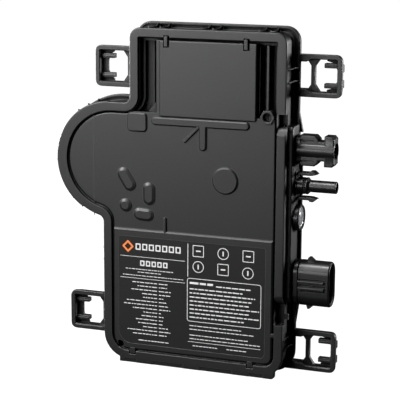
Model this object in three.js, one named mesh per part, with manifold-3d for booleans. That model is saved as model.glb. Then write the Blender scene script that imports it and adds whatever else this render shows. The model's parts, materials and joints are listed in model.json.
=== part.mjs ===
// Module-level solar micro inverter: a potted plastic housing that stands on its bottom edge,
// with four hook-on mounting ears, two DC connectors, an AC connector and a status lens.
// Millimetres, +Z up, +X right, the front face looks along -Y. The parts are drawn round a line
// through the body, and the whole group is then moved so that its origin is the bottom centre.

import * as THREE from 'three';
import { mergeVertices } from 'three/addons/utils/BufferGeometryUtils.js';
import Module from 'manifold-3d';

const wasm = await Module();
wasm.setup();

// ---------------------------------------------------------------- driving dimensions

const GAP = 0.3;                 // clearance between pieces that touch
const FRONT = -15.1;             // front face of the rim
const BACK = 15.1;               // rear face of the housing

// Outline of the front rim, seen from the front
const RIGHT = 71;
const TOP = 209;
const BOTTOM = 2;                // the foot strip reaches the last 2 mm down to Z = 0
const BLOCK_LEFT = -27.8;        // left side of the upper block
const LOW_LEFT = -45.8;          // left side below the lobe
const LOBE = { x: -39.5, z: 127.4, r: 36.1 };
const TOP_CORNER = 6.5;
const NOTCH_FILLET = 4;          // inside corners where the lobe meets the straight sides
const LOW_LEFT_CORNER = 16;
const LOW_RIGHT_CORNER = 12;

// Offsets from that outline, outward positive
const FLANGE_OUT = 2.5;
const WALL_OUT = -2;
const WALL_IN = -5.5;
const LID_OUT = -6.7;
const SKIRT_IN = -7.9;
const SEAL_OUT = -5.8;
const SEAL_IN = -6.4;
const SHELL_OUT = -1;            // rear shell behind the flange

// Depth stations
const RIM_BACK = -11.5;
const FLANGE_FRONT = 2.8;
const LIP_FRONT = 3.7;           // front of the flange's thin lip behind the connectors
const FLANGE_BACK = 5.8;
const FLOOR_FRONT = 12.9;
const PANEL = -14.3;             // front face of the lid's upper panel
const PANEL_BACK = -12.3;
const PAD = -15;                 // front face of the lid's lower pad
const RAISED = -15.1;            // front faces of ribs, disc and pocket cover
const TRAY_TOP = -9;             // rim of the two deep pockets beside the cover
const TRAY_FLOOR = -5.6;
const LID_BACK = -4.2;

// Pocket cover, the raised rectangle at the top of the lid
const COVER = { x0: -11, x1: 52.6, z0: 157.5, z1: 202, wall: 1.8, skin: 2 };
const STEP_Z = 85.7;             // ledge between the upper panel and the lower pad

// Connectors on the right-hand side, axis along +X
const SIDE = 73.9;               // outer face of the connector bulkhead
const LIP_REACH = 76;            // how far the flange's lip stands out behind the connectors
const BULKHEAD = { z0: 47, z1: 154, y0: -10 };
const STEM_IN = 8.4;             // how far a connector's stem goes in through the wall
const DC_SOCKET = { z: 139.5, end: 97.6, half: 9.2, depth: 4.4, barrel: 5.75, bore: 4.35 };
const DC_PLUG = { z: 117.8, end: 98.6, flange: 5.6, collar: 5.1, tube: 3.65, bore: 2.7 };
const STATUS = { z: 98.2, radius: 8 };
const AC = { z: 58.7, end: 97, half: 14, depth: 7.3 };
const OUTSIDE = SIDE + GAP;      // where the pieces on the bulkhead start
const STEM = 4.2;                // radius of each DC connector's stem through the wall
const PIPE = 2;                  // radius of the status light pipe
const CONTACT_HOLE = 1.6;        // radius of the way through for a DC contact

// Mounting ears: a front frame, and a slightly smaller one behind it round the same window
const EAR = {
  half: 12.7, bar: 3, front: 3, step: 5.5, back: 10, inset: 1, corner: 3.5, cross: 2.8, crossAt: 4.4,
  tab: 10.3, web: 3.8, webFront: 7, root: 9,
};
const EAR_END = 99;              // outer ends of the two right-hand ears
const EARS = [
  { name: 'mounting_ear_upper_left', root: BLOCK_LEFT - FLANGE_OUT, end: -58.5, z: 183 },
  { name: 'mounting_ear_upper_right', root: RIGHT + FLANGE_OUT, end: EAR_END, z: 182.9 },
  { name: 'mounting_ear_lower_left', root: LOW_LEFT - FLANGE_OUT, end: -77.4, z: 24.9 },
  { name: 'mounting_ear_lower_right', root: RIGHT + FLANGE_OUT, end: EAR_END, z: 14.9 },
];

// Board stack inside, from the rear floor forward
const POTTING = { front: 8.6, back: FLOOR_FRONT - GAP, offset: SEAL_OUT };
const SPREADER = { front: 7.1, back: POTTING.front - GAP };
const BOARD = { front: 5.2, back: SPREADER.front - GAP, offset: -8.5 };
const DECK = BOARD.front - GAP;  // components stand on this plane and rise towards -Y

// Latch fingers of the DC plug
const LATCH = { root: SIDE + 1.1, tip: 87.1, at: 7.4, thick: 1.9, width: 6, barb: 0.9 };

// ---------------------------------------------------------------- materials

const plastic = (colour) => ({ color: colour, roughness: 0.45, metalness: 0 });
const metal = (colour) => ({ color: colour, roughness: 0.3, metalness: 1 });
const MATERIALS = {
  housing: plastic(0x3c3d3f),
  connector: plastic(0x222325),
  label: plastic(0x1f2022),
  rubber: { color: 0x161616, roughness: 0.8, metalness: 0 },
  board: plastic(0x1d5b33),
  potting: { color: 0x2b2a28, roughness: 0.7, metalness: 0 },
  ferrite: { color: 0x47484a, roughness: 0.7, metalness: 0 },
  tape: plastic(0xc9a227),
  film: plastic(0x8d8f93),
  chip: plastic(0x151516),
  lens: { color: 0xd9dde0, roughness: 0.1, metalness: 0 },
  copper: metal(0xb87333),
  aluminium: metal(0xc0c3c6),
  tin: metal(0xc8cacc),
};

// ---------------------------------------------------------------- solids

// Turns a closed geometry into a solid that can be joined and cut.
function solidOf(geometry) {
  const bare = geometry.index ? geometry.toNonIndexed() : geometry.clone();
  bare.deleteAttribute('normal');
  bare.deleteAttribute('uv');
  const merged = mergeVertices(bare, 1e-4);
  return new wasm.Manifold(new wasm.Mesh({
    numProp: 3,
    vertProperties: new Float32Array(merged.attributes.position.array),
    triVerts: new Uint32Array(merged.index.array),
  }));
}

function geometryOf(solid) {
  const mesh = solid.getMesh();
  const geometry = new THREE.BufferGeometry();
  geometry.setAttribute('position', new THREE.BufferAttribute(mesh.vertProperties, 3));
  geometry.setIndex(new THREE.BufferAttribute(mesh.triVerts, 1));
  geometry.computeVertexNormals();
  return geometry;
}

const join = (...solids) => solids.reduce((whole, piece) => whole.add(piece));
const cut = (solid, ...tools) => tools.reduce((rest, tool) => rest.subtract(tool), solid);

// Box between two corners.
function block(x0, x1, y0, y1, z0, z1) {
  const geometry = new THREE.BoxGeometry(x1 - x0, y1 - y0, z1 - z0);
  geometry.translate((x0 + x1) / 2, (y0 + y1) / 2, (z0 + z1) / 2);
  return solidOf(geometry);
}

// Outline in X and Z, extruded in depth from y0 to y1.
function slab(points, y0, y1) {
  const geometry = new THREE.ExtrudeGeometry(new THREE.Shape(points), {
    depth: y1 - y0, bevelEnabled: false,
  });
  geometry.rotateX(Math.PI / 2);
  geometry.translate(0, y1, 0);
  return solidOf(geometry);
}

const ring = (outer, inner, y0, y1) => cut(slab(outer, y0, y1), slab(inner, y0 - 1, y1 + 1));

// Outline in Y and Z, extruded along X from x0 to x1.
function rail(points, x0, x1) {
  const geometry = new THREE.ExtrudeGeometry(new THREE.Shape(points), {
    depth: x1 - x0, bevelEnabled: false,
  });
  geometry.applyMatrix4(new THREE.Matrix4().set(0, 0, 1, x0, 1, 0, 0, 0, 0, 1, 0, 0, 0, 0, 0, 1));
  return solidOf(geometry);
}

// Cylinder along X from x0 to x1.
function rod(x0, x1, radius, y = 0, z = 0, sides = 32) {
  const geometry = new THREE.CylinderGeometry(radius, radius, x1 - x0, sides);
  geometry.rotateZ(-Math.PI / 2);
  geometry.translate((x0 + x1) / 2, y, z);
  return solidOf(geometry);
}

// Cylinder along Y from y0 to y1.
function drum(y0, y1, radius, x, z, sides = 32) {
  const geometry = new THREE.CylinderGeometry(radius, radius, y1 - y0, sides);
  geometry.translate(x, (y0 + y1) / 2, z);
  return solidOf(geometry);
}

// Turned shape about the X axis: the profile is a list of [x, radius].
function turned(profile, sides = 40) {
  const points = profile.map(([x, radius]) => new THREE.Vector2(radius, x));
  const geometry = new THREE.LatheGeometry(points, sides);
  geometry.rotateZ(-Math.PI / 2);
  const solid = solidOf(geometry);
  return solid.volume() > 0 ? solid : solidOf(flipped(geometry));
}

function flipped(geometry) {
  const index = geometry.index.array;
  for (let i = 0; i < index.length; i += 3) {
    const first = index[i];
    index[i] = index[i + 1];
    index[i + 1] = first;
  }
  return geometry;
}

// ---------------------------------------------------------------- outlines

// Points of an arc, from one angle to another in degrees.
function arc(cx, cz, radius, from, to) {
  const steps = Math.max(2, Math.ceil(Math.abs(to - from) / (radius > 20 ? 7.5 : 15)));
  const points = [];
  for (let i = 0; i <= steps; i += 1) {
    const angle = THREE.MathUtils.degToRad(from + (to - from) * i / steps);
    points.push(new THREE.Vector2(cx + radius * Math.cos(angle), cz + radius * Math.sin(angle)));
  }
  return points;
}

// Rounded convex corner at (x, z); sx and sz say which way the corner points.
function corner(x, z, sx, sz, radius, from) {
  const r = Math.max(radius, 0.5);
  return arc(x - sx * r, z - sz * r, r, from, from + 90);
}

// Outline of the body, grown outward by a distance, anticlockwise from the bottom left.
function bodyOutline(grow) {
  const notch = NOTCH_FILLET - grow;
  const lowX = LOW_LEFT - NOTCH_FILLET;
  const span = LOBE.r + NOTCH_FILLET;
  const lowZ = LOBE.z - Math.sqrt(span ** 2 - (lowX - LOBE.x) ** 2);
  const meet = THREE.MathUtils.radToDeg(Math.atan2(LOBE.z - lowZ, LOBE.x - lowX));
  return [
    ...corner(LOW_LEFT - grow, BOTTOM - grow, -1, -1, LOW_LEFT_CORNER + grow, 180),
    ...corner(RIGHT + grow, BOTTOM - grow, 1, -1, LOW_RIGHT_CORNER + grow, 270),
    ...corner(RIGHT + grow, TOP + grow, 1, 1, TOP_CORNER + grow, 0),
    ...corner(BLOCK_LEFT - grow, TOP + grow, -1, 1, TOP_CORNER + grow, 90),
    ...arc(BLOCK_LEFT - NOTCH_FILLET, LOBE.z + LOBE.r + NOTCH_FILLET, notch, 0, -90),
    ...arc(LOBE.x, LOBE.z, LOBE.r + grow, 90, 180 + meet),
    ...arc(lowX, lowZ, notch, meet, 0),
  ];
}

// Rectangle with rounded corners.
function roundedRect(x0, x1, z0, z1, radius) {
  return [
    ...corner(x0, z0, -1, -1, radius, 180),
    ...corner(x1, z0, 1, -1, radius, 270),
    ...corner(x1, z1, 1, 1, radius, 0),
    ...corner(x0, z1, -1, 1, radius, 90),
  ];
}

// Slot with round ends between two points.
function slot(xa, za, xb, zb, width) {
  const angle = THREE.MathUtils.radToDeg(Math.atan2(zb - za, xb - xa));
  return [
    ...arc(xa, za, width / 2, angle + 90, angle + 270),
    ...arc(xb, zb, width / 2, angle - 90, angle + 90),
  ];
}

const polygon = (...points) => points.map(([x, z]) => new THREE.Vector2(x, z));

// ---------------------------------------------------------------- housing

// The flange widens to the right, as a thin lip behind the connectors.
function lipOutline() {
  const edge = RIGHT + FLANGE_OUT;
  return polygon([RIGHT, 28], [edge, 31], [LIP_REACH, 48], [LIP_REACH, 149], [edge, 161], [RIGHT, 164]);
}

// The rim swells outward a little round the lobe.
const swellOutline = () => arc(LOBE.x - 1.2, LOBE.z + 0.25, LOBE.r + 0.1, 0, 352.5);

// Section of the AC connector in Y and Z: flat front and back, round above and below.
function stadium(half, depth, z = 0) {
  return [
    ...arc(0, z + half - depth, depth, 0, 180),
    ...arc(0, z - half + depth, depth, 180, 360),
  ];
}

// Places of the bridging ribs on the outside of the wall: [x, z, direction outward in degrees].
function ribPlaces() {
  const places = [];
  for (const x of [-16, -8.4, 17.6, 24.8, 53.2, 60.4]) {
    places.push([x, TOP, 90]);
  }
  for (const z of [187.3, 179.6, 24.2, 18]) {
    places.push([RIGHT, z, 0]);
  }
  for (const z of [187.3, 179.6]) {
    places.push([BLOCK_LEFT, z, 180]);
  }
  for (const z of [72, 64.5, 31.5, 25]) {
    places.push([LOW_LEFT, z, 180]);
  }
  for (const angle of [116, 128, 171, 183, 223, 235]) {
    const turn = THREE.MathUtils.degToRad(angle);
    places.push([LOBE.x + LOBE.r * Math.cos(turn), LOBE.z + LOBE.r * Math.sin(turn), angle]);
  }
  return places;
}

function rib([x, z, angle]) {
  const geometry = new THREE.BoxGeometry(5, FLANGE_FRONT + 1 + 13.6, 1);
  geometry.translate(-1.3, (FLANGE_FRONT + 1 - 13.6) / 2, 0);
  geometry.rotateY(-THREE.MathUtils.degToRad(angle));
  geometry.translate(x, 0, z);
  return solidOf(geometry);
}

function housing() {
  const lip = slab(lipOutline(), LIP_FRONT, FLANGE_BACK);
  const flange = slab(bodyOutline(FLANGE_OUT), FLANGE_FRONT, FLANGE_BACK).add(lip);
  const bulkhead = slab(roundedRect(RIGHT - 4, SIDE, BULKHEAD.z0, BULKHEAD.z1, 2),
    BULKHEAD.y0, FLANGE_FRONT + 0.5);
  const foot = block(-35.3, 66, FRONT, RIM_BACK, 0, 6);
  const outside = join(
    slab(bodyOutline(0), FRONT, RIM_BACK),
    slab(swellOutline(), FRONT, RIM_BACK),
    slab(bodyOutline(WALL_OUT), RIM_BACK - 0.5, FLANGE_FRONT + 0.5),
    flange,
    slab(bodyOutline(SHELL_OUT), FLANGE_BACK - 0.5, BACK),
    bulkhead,
    foot,
    ...ribPlaces().map(rib),
  );
  const rimGaps = [[154.7, 161.7], [34, 46.3]].map(([z0, z1]) => (
    block(RIGHT - 5.4, RIGHT + 1, FRONT - 1, -8, z0, z1)));
  const tabNotches = [-4.3, 46].map((x) => block(x - 1.5, x + 1.5, FRONT - 1, -13, 200, 204.8));
  return cut(
    outside,
    slab(bodyOutline(WALL_IN), FRONT - 1, FLOOR_FRONT),
    block(-90, 110, FRONT - 1, BACK + 1, -5, 0),
    rod(60, SIDE + 1, STEM + GAP, 0, DC_SOCKET.z),
    rod(60, SIDE + 1, STEM + GAP, 0, DC_PLUG.z),
    rod(60, SIDE + 1, PIPE + GAP, 0, STATUS.z),
    rail(stadium(AC_STEM.half + GAP, AC_STEM.depth + GAP, AC.z), 60, SIDE + 1),
    rail(stadium(AC.half + GAP, AC.depth + GAP, AC.z), SIDE, 90),
    block(SIDE, 90, -DC_SOCKET.barrel - GAP, DC_SOCKET.barrel + GAP,
      DC_SOCKET.z - DC_SOCKET.half - GAP, DC_SOCKET.z + DC_SOCKET.half + GAP),
    rod(SIDE, 90, DC_PLUG.flange + GAP, 0, DC_PLUG.z),
    rod(SIDE, 90, STATUS.radius + GAP, 0, STATUS.z),
    drum(FRONT - 1, -9, 2.3, -34.8, 11.2, 20),
    ...rimGaps,
    ...tabNotches,
  );
}

// ---------------------------------------------------------------- mounting ears

// One ear: a window frame with a crossbar, a web along its outer end and two tabs beside it.
function mountingEar({ root, end, z }) {
  const side = Math.sign(end - root);
  const length = Math.abs(end - root);
  const x = (from, to) => (side > 0 ? [from, to] : [-to, -from]);
  const bar = (from, to, y0, y1, z0, z1) => block(...x(from, to), y0, y1, z0, z1);
  const inner = EAR.half - EAR.bar;
  const frameOf = (inset, y0, y1) => join(
    slab(roundedRect(...x(0, length - inset), -EAR.half + inset, EAR.half - inset,
      EAR.corner - inset), y0, y1),
    bar(-EAR.root, EAR.corner, y0, y1, -EAR.half + inset, EAR.half - inset),
  );
  const window = bar(-EAR.root - 1, length - EAR.bar, EAR.front - 1, EAR.back + 1, -inner, inner);
  const near = EAR.crossAt;
  const far = EAR.crossAt + EAR.cross;
  const gusset = (up) => slab(
    polygon(
      [side * (near - 3), up * (inner + 0.5)], [side * (far + 3), up * (inner + 0.5)],
      [side * (far - 0.5), up * (inner - 4.5)], [side * (near + 0.5), up * (inner - 4.5)],
    ),
    EAR.webFront, EAR.back,
  );
  const shoulder = (up) => slab(
    polygon(
      [side * -EAR.root, up * (inner + 0.5)], [side * 7.5, up * (inner + 0.5)],
      [side * 3.5, up * (inner - 1.6)], [side * -EAR.root, up * (inner - 1.6)],
    ),
    EAR.front, EAR.back,
  );
  const web = bar(length - EAR.bar - EAR.web, length - EAR.bar + 0.5, EAR.webFront + 1, EAR.back,
    -inner - 0.5, inner + 0.5);
  const tabStart = length - EAR.bar - EAR.tab;
  const tab = (z0, z1) => bar(tabStart, length - EAR.bar + 0.5, 6, EAR.back, z0, z1);
  const bump = (z0, z1) => bar(length - EAR.inset - 0.5, length, EAR.step, 9, z0, z1);
  const whole = join(
    cut(frameOf(0, EAR.front, EAR.step).add(frameOf(EAR.inset, EAR.step - 0.5, EAR.back)), window),
    bar(near, far, EAR.webFront, EAR.back, -inner - 0.5, inner + 0.5),
    gusset(1),
    gusset(-1),
    shoulder(1),
    shoulder(-1),
    web,
    tab(4.8, 7.4),
    tab(-7.4, -4.8),
    bump(2.3, 6.9),
    bump(-6.9, -2.3),
  );
  const beside = (grow, y1) => slab(bodyOutline(grow + GAP).map((p) => (
    new THREE.Vector2(p.x - root, p.y - z))), FRONT, y1);
  return cut(whole, beside(FLANGE_OUT, FLANGE_BACK + GAP), beside(SHELL_OUT, BACK));
}

// ---------------------------------------------------------------- lid

// Everything that stands on the lid's upper panel.
function panelRelief() {
  const bases = [
    slot(-11.5, 153.4, 46, 153.4, 4.4),
    slot(16.2, 150.8, 7.6, 142.1, 1.6),
    slot(19.2, 151.5, 19.2, 139.5, 4.8),
    slot(-32, 119.3, -28.4, 113.6, 6.4),
    slot(-15.3, 111, -15.3, 105.2, 6.4),
    slot(-21.7, 95.3, -16.4, 95, 6.4),
    slot(-5, 93.4, -5, 84.9, 2.2),
    arc(-31.2, 100.1, 3.2, 0, 345),
    arc(33.5, 119.7, 7.8, 0, 352.5),
    roundedRect(-29.4, -17, 146.6, 157.2, 1.5),
  ];
  return bases.map((points) => slab(points, RAISED + 0.2, PANEL + 0.5));
}

function frontLid() {
  const outline = bodyOutline(LID_OUT);
  const inside = bodyOutline(SKIRT_IN);
  const above = (z) => block(-40, 80, FRONT - 2, 0, z, TOP);
  const plate = cut(slab(outline, PANEL, PANEL_BACK), above(COVER.z0 + 0.8));
  const skirt = cut(ring(outline, inside, PANEL, LID_BACK),
    block(-40, 80, FRONT - 2, TRAY_TOP, COVER.z0 + 0.8, TOP));
  const tray = cut(slab(outline, TRAY_FLOOR, LID_BACK),
    block(-90, 80, FRONT, 0, -5, COVER.z0 - 1));
  const riser = slab(outline, PANEL, LID_BACK)
    .intersect(block(-40, 80, FRONT, 0, COVER.z0 - 1, COVER.z0 + 0.8));
  const shell = block(COVER.x0, COVER.x1, RAISED, LID_BACK, COVER.z0, COVER.z1);
  const hollow = block(COVER.x0 + COVER.wall, COVER.x1 - COVER.wall, RAISED + COVER.skin, 0,
    COVER.z0 + 2.2, COVER.z1 - COVER.wall);
  const ridges = [53.8, 58.7].map((x) => block(x, x + 1.4, TRAY_TOP - 2, LID_BACK, 163, 201));
  const pad = slab(bodyOutline(LID_OUT), PAD, PANEL + 0.5)
    .intersect(block(-39.9, 80, FRONT, 0, 0, STEP_Z));
  const recess = slab(labelOutline(GAP), PAD - 1, PAD + 0.7);
  const boss = drum(RAISED, PANEL + 2, 4.6, 59.5, 159.3, 6);
  const hooks = [-4.3, 46].map((x) => block(x - 1.2, x + 1.2, RAISED, PANEL + 1, 199, 204.2));
  const whole = join(plate, skirt, tray, riser, shell, pad, boss, ...ridges, ...hooks,
    ...panelRelief());
  const facet = slab(polygon([-52.3, 60], [-52.3, 200], [-90, 200], [-90, 60]), 0, 6);
  const slope = solidOf(geometryOf(facet).rotateZ(-0.075).translate(0.15, -24.25, 0));
  return cut(whole, hollow, recess, slope, drum(FRONT - 1, LID_BACK + 1, 2.6, 59.5, 159.3, 24),
    drum(FRONT - 1, -9, 2.3, -34.8, 11.2, 20));
}

// ---------------------------------------------------------------- label

function labelOutline(grow) {
  const [x0, x1, z0, z1] = [-35.4, 59.6, 12.6, 80.8];
  return [
    ...corner(x0 - grow, z0 - grow, -1, -1, 8 + grow, 180),
    ...corner(x1 + grow, z0 - grow, 1, -1, 3 + grow, 270),
    ...corner(x1 + grow, z1 + grow, 1, 1, 1, 0),
    ...corner(x0 - grow, z1 + grow, -1, 1, 1, 90),
  ];
}

// ---------------------------------------------------------------- DC connectors

// Silhouette of the DC socket in X and Z: two latch windows cut the waist before the head.
function socketSilhouette() {
  const { half } = DC_SOCKET;
  const waist = 5.9;
  const reach = DC_SOCKET.end - OUTSIDE;
  const upper = [[0, half], [11.2, half], [13.5, half - 2.2], [13.5, waist], [17, waist], [17, half],
    [reach - 1.2, half], [reach, half - 1.2]];
  const lower = upper.map(([x, z]) => [x, -z]).reverse();
  return polygon(...upper, ...lower);
}

function dcSocketHousing() {
  const reach = DC_SOCKET.end - OUTSIDE;
  const wings = slab(socketSilhouette(), -DC_SOCKET.depth, DC_SOCKET.depth);
  const barrel = rod(0, reach, DC_SOCKET.barrel);
  const stem = rod(-STEM_IN, 1, STEM);
  const bore = rod(reach - 21, 40, DC_SOCKET.bore);
  const contactHole = rod(-10, 40, CONTACT_HOLE, 0, 0, 20);
  return cut(join(wings, barrel, stem), bore, contactHole);
}

function dcPlugHousing() {
  const reach = DC_PLUG.end - OUTSIDE;
  const groove = DC_PLUG.tube + 0.2;
  const body = turned([[-STEM_IN, 0], [-STEM_IN, STEM], [0, STEM], [0, DC_PLUG.flange], [1, DC_PLUG.flange],
    [1, DC_PLUG.collar], [4.6, DC_PLUG.collar], [4.6, groove], [6, groove], [6, DC_PLUG.collar],
    [6.8, DC_PLUG.collar], [8.2, DC_PLUG.tube], [reach, DC_PLUG.tube], [reach, 0]]);
  const base = block(0, 0.5, -5, LIP_FRONT - GAP, -9.4, 9.4);
  const bore = rod(2, 40, DC_PLUG.bore, 0, 0, 24);
  const contactHole = rod(-10, 40, CONTACT_HOLE, 0, 0, 20);
  return cut(join(body, base), bore, contactHole);
}

// One latch finger, lying along +X from its root, barb outward (+Z), in its own frame.
function latchFinger(side) {
  const reach = LATCH.tip - LATCH.root;
  const t = LATCH.thick / 2;
  const outline = polygon([0, -t], [reach - 3.6, -t], [reach, 0], [reach - 2.6, t + LATCH.barb],
    [reach - 4.4, t + LATCH.barb], [reach - 5.2, t], [0, t]);
  const turnedOutline = side > 0 ? outline : outline.map((p) => new THREE.Vector2(p.x, -p.y)).reverse();
  return slab(turnedOutline, -LATCH.width / 2, LATCH.width / 2);
}

// ---------------------------------------------------------------- AC connector

const AC_STEM = { half: 11, depth: 5.6 };
const AC_INSERT = { half: 9.6, depth: 4.2 };
const AC_WAY = { half: AC_INSERT.half + GAP, depth: AC_INSERT.depth + GAP };
const AC_BASE = 3.2;             // thickness of the connector's base plate
const AC_PINS = [-6, -2, 2, 6];  // heights of the four contacts
const AC_PIN_RADIUS = 1.2;

const bar = ({ half, depth }, x0, x1) => rail(stadium(half, depth), x0, x1);

function acConnectorBase() {
  return cut(join(bar(AC, 0, AC_BASE), bar(AC_STEM, -STEM_IN, 1)), bar(AC_WAY, -10, 10));
}

function acConnectorSleeve() {
  const start = AC_BASE + GAP;
  const reach = AC.end - OUTSIDE;
  const ramp = (up) => slab(
    polygon([7.2, up * 12.6], [8.4, up * 15.9], [9.8, up * 15.9], [13.4, up * 12.6]),
    -2.6, 2.6,
  );
  const keys = [1.9, -2.1].map((z) => block(start, 19.4, -AC.depth - 0.8, -AC.depth + 0.6,
    z - 0.7, z + 0.7));
  const shell = join(bar(AC, start, reach), ramp(1), ramp(-1), ...keys);
  return cut(shell, bar({ half: AC.half - 1.9, depth: AC.depth - 1.9 }, 0, 40));
}

function acInsert() {
  const holes = AC_PINS.map((z) => rod(-20, 30, AC_PIN_RADIUS + GAP, 0, z, 16));
  return cut(bar(AC_INSERT, -STEM_IN + 1, 13), ...holes);
}

// ---------------------------------------------------------------- scene

const inverter = new THREE.Group();

// Adds one named piece; its geometry is in its own frame and place is where it stands.
function piece(name, solid, material, place = [0, 0, 0]) {
  const mesh = new THREE.Mesh(geometryOf(solid), new THREE.MeshStandardMaterial(MATERIALS[material]));
  mesh.name = name;
  mesh.position.set(...place);
  inverter.add(mesh);
}

piece('housing', housing(), 'housing');
for (const ear of EARS) {
  piece(ear.name, mountingEar(ear), 'housing', [ear.root, 0, ear.z]);
}
piece('front_lid', frontLid(), 'housing');
piece('lid_gasket', ring(bodyOutline(SEAL_OUT), bodyOutline(SEAL_IN), -8.4, -7.2), 'rubber');
piece('label_plate', slab(labelOutline(0), -14.95, -14.6), 'label');
piece('vent_plug', drum(-12.6, -10.6, 2.3, 59.5, 159.3, 24), 'rubber');

const socketPlace = [OUTSIDE, 0, DC_SOCKET.z];
const plugPlace = [OUTSIDE, 0, DC_PLUG.z];
const statusPlace = [OUTSIDE, 0, STATUS.z];
const acPlace = [OUTSIDE, 0, AC.z];
const CONTACT_IN = STEM_IN + 0.3;
piece('dc_socket_housing', dcSocketHousing(), 'connector', socketPlace);
piece('dc_socket_pin', rod(-CONTACT_IN, 14, 1.3, 0, 0, 16), 'tin', socketPlace);
piece('dc_plug_housing', dcPlugHousing(), 'connector', plugPlace);
piece('dc_plug_contact', cut(join(rod(2.4, 22.4, 2.3, 0, 0, 20), rod(-CONTACT_IN, 3, 1.3, 0, 0, 16)),
  rod(8, 30, 1.5, 0, 0, 16)), 'tin', plugPlace);
piece('dc_plug_seal', cut(rod(4.9, 5.7, 4.95), rod(4, 7, DC_PLUG.tube + 0.2 + GAP)), 'rubber', plugPlace);
piece('dc_latch_upper', latchFinger(1), 'connector', [LATCH.root, 0, DC_PLUG.z + LATCH.at]);
piece('dc_latch_lower', latchFinger(-1), 'connector', [LATCH.root, 0, DC_PLUG.z - LATCH.at]);

piece('ac_connector_base', acConnectorBase(), 'connector', acPlace);
piece('ac_connector_sleeve', acConnectorSleeve(), 'connector', acPlace);
piece('ac_connector_insert', acInsert(), 'connector', acPlace);
piece('ac_connector_seal', cut(bar({ half: 11.8, depth: 5.1 }, 3.8, 5.8), bar(AC_WAY, 3, 8)), 'rubber',
  acPlace);
AC_PINS.forEach((z, i) => {
  piece(`ac_pin_${i + 1}`, rod(-STEM_IN, 16, AC_PIN_RADIUS, 0, 0, 14), 'tin',
    [OUTSIDE, 0, AC.z + z]);
});

piece('status_bezel', cut(rod(0, 3.2, STATUS.radius), rod(1.4, 8, 7), rod(-1, 4, PIPE + GAP)),
  'connector', statusPlace);
piece('status_lens', turned([[1.7, 0], [1.7, 6.7], [2.3, 6.7], [2.8, 5.2], [3.1, 3], [3.2, 0]], 32),
  'lens', statusPlace);
piece('light_pipe', rod(-10.6, 1.4, PIPE, 0, 0, 20), 'lens', statusPlace);

piece('potting_compound', slab(bodyOutline(POTTING.offset), POTTING.front, POTTING.back), 'potting');
piece('heat_spreader', slab(roundedRect(-36, 62, 10, 150, 4), SPREADER.front, SPREADER.back),
  'aluminium');
piece('main_board', slab(bodyOutline(BOARD.offset), BOARD.front, BOARD.back), 'board');

// A component standing on the board: width, height on the board, and how far it rises.
function component(name, x, z, width, height, rise, material) {
  piece(name, block(-width / 2, width / 2, -rise, 0, -height / 2, height / 2), material, [x, DECK, z]);
}

// Transformer in the hollow of the pocket cover: two cup-shaped core halves round a winding.
const CORE = { x: 20.8, z: 180, width: 40, height: 32, half: 7, wall: 5 };

function coreHalf(y0, y1, openTowards) {
  const body = block(-CORE.width / 2, CORE.width / 2, y0, y1, -CORE.height / 2, CORE.height / 2);
  const floor = openTowards < 0 ? [y0 - 1, y1 - 2.5] : [y0 + 2.5, y1 + 1];
  const trough = cut(
    block(-CORE.width / 2 + CORE.wall, CORE.width / 2 - CORE.wall, ...floor,
      -CORE.height / 2 - 1, CORE.height / 2 + 1),
    block(-5, 5, ...floor, -CORE.height / 2 - 2, CORE.height / 2 + 2),
  );
  return cut(body, trough);
}

const coreBack = DECK;
const coreSplit = DECK - CORE.half;
const coreFront = coreSplit - GAP - CORE.half;
const corePlace = [CORE.x, 0, CORE.z];
piece('transformer_core_rear', coreHalf(coreSplit, coreBack, -1), 'ferrite', corePlace);
piece('transformer_core_front', coreHalf(coreFront, coreSplit - GAP, 1), 'ferrite', corePlace);
piece('transformer_winding', cut(
  block(-14.6, 14.6, coreFront + 2.8, coreBack - 2.8, -18.5, 18.5),
  block(-5.3, 5.3, coreFront, coreBack, -16.3, 16.3),
), 'tape', corePlace);

const coil = new THREE.TorusGeometry(19, 6.6, 12, 28);
coil.rotateX(Math.PI / 2);
piece('filter_inductor', solidOf(coil), 'copper', [LOBE.x + 1, DECK - 6.9, LOBE.z]);

for (let i = 0; i < 4; i += 1) {
  const can = cut(drum(-13.5, 0, 5, 0, 0, 24), drum(-14, -13.1, 3.6, 0, 0, 24));
  piece(`dc_capacitor_${i + 1}`, can, 'film', [8 + 12 * i, DECK, 146.5]);
}
for (let i = 0; i < 4; i += 1) {
  component(`dc_switch_${i + 1}`, 6 + 12 * i, 130.5, 9, 10, 4.4, 'chip');
  component(`ac_switch_${i + 1}`, -30 + 12 * i, 76, 9, 10, 4.4, 'chip');
}
component('common_mode_choke', 40, 84, 20, 18, 14, 'ferrite');
component('film_capacitor', 34, 36, 26, 11, 14, 'tape');
component('grid_relay', -24, 28, 20, 16, 12, 'chip');
component('control_chip', 6, 100, 14, 14, 1.6, 'chip');
component('ac_terminal_block', 58.5, AC.z, 13, 22, 8.6, 'connector');

// Copper strips from the DC contacts down to the board.
for (const [name, z] of [['dc_busbar_positive', DC_SOCKET.z], ['dc_busbar_negative', DC_PLUG.z]]) {
  const strip = join(block(0, 11.2, -0.5, 0.5, -2.5, 2.5), block(0, 1.2, -0.5, DECK, -2.5, 2.5));
  piece(name, strip, 'copper', [54, 0, z]);
}
component('status_led', 60, STATUS.z, 4, 4, 7.2, 'lens');

const leftEnd = LOBE.x - LOBE.r - FLANGE_OUT;
inverter.position.x = -(leftEnd + EAR_END) / 2;

export default inverter;
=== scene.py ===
"""Looks of a solar micro inverter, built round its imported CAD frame.

The plastic shells, connectors, lens and label are modelled again here with their rounded edges,
grooves, ribs and print. Shapes are drawn in millimetres in the CAD drawing frame, X right, Y back
and Z up, and are then moved to the row frame in metres.
"""

import json
import math
import random

import bmesh
import bpy
from mathutils import Matrix, Vector

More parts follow.
